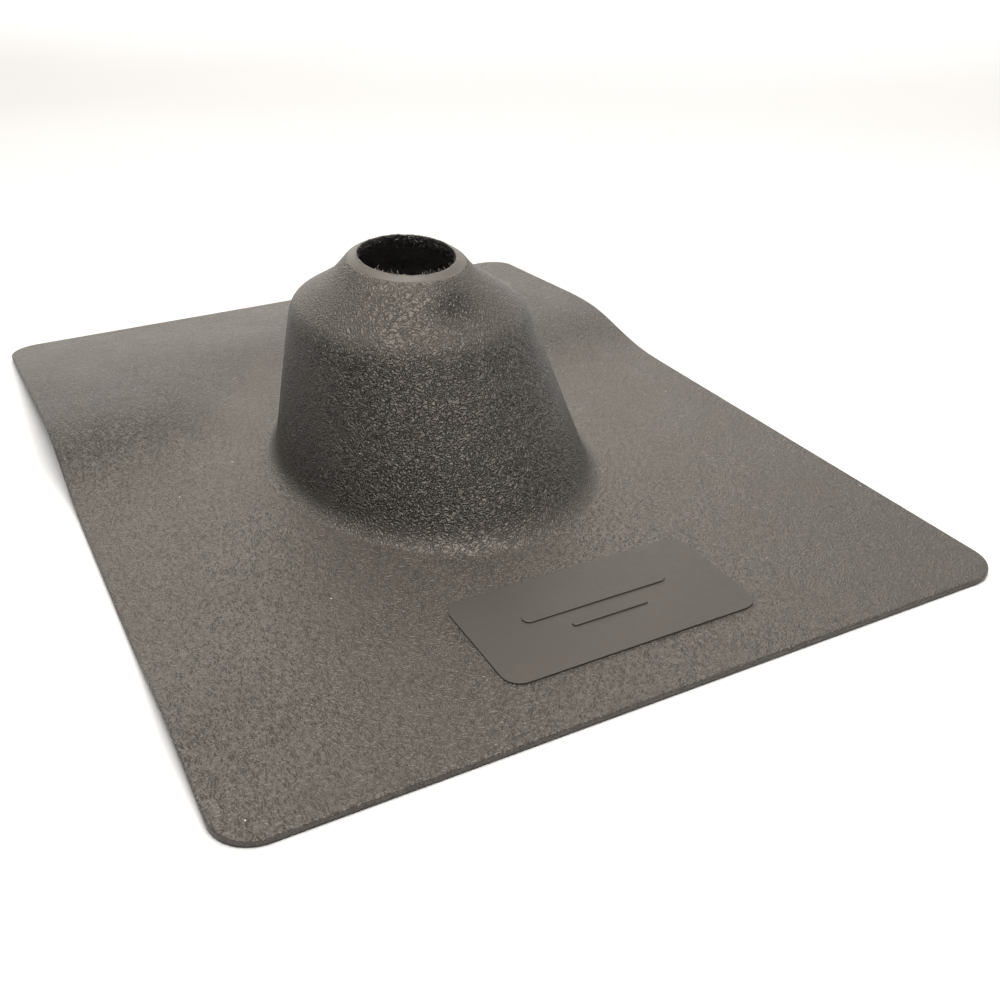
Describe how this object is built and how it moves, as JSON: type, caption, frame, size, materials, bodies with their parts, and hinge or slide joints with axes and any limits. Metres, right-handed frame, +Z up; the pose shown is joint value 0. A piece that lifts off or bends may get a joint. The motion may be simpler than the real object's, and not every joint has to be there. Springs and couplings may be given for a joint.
{
  "type": "pipe flashing boot",
  "caption": "One-piece moulded rubber roof flashing: a flat flange with a hollow, sloping boot whose lip seals around a vent pipe.",
  "frame": {"origin": "middle of the flange on the plane of its underside", "axes": "+Z up out of the roof, +Y up the roof along the flange's length, +X to the right across it; the boot's long slope faces -Y"},
  "size_m": [0.232, 0.315, 0.0702],
  "materials": {
    "boot_rubber": "matte charcoal with a pebbled grain"
  },
  "bodies": {
    "root": {"flashing_boot": "boot_rubber"}
  },
  "joints": []
}
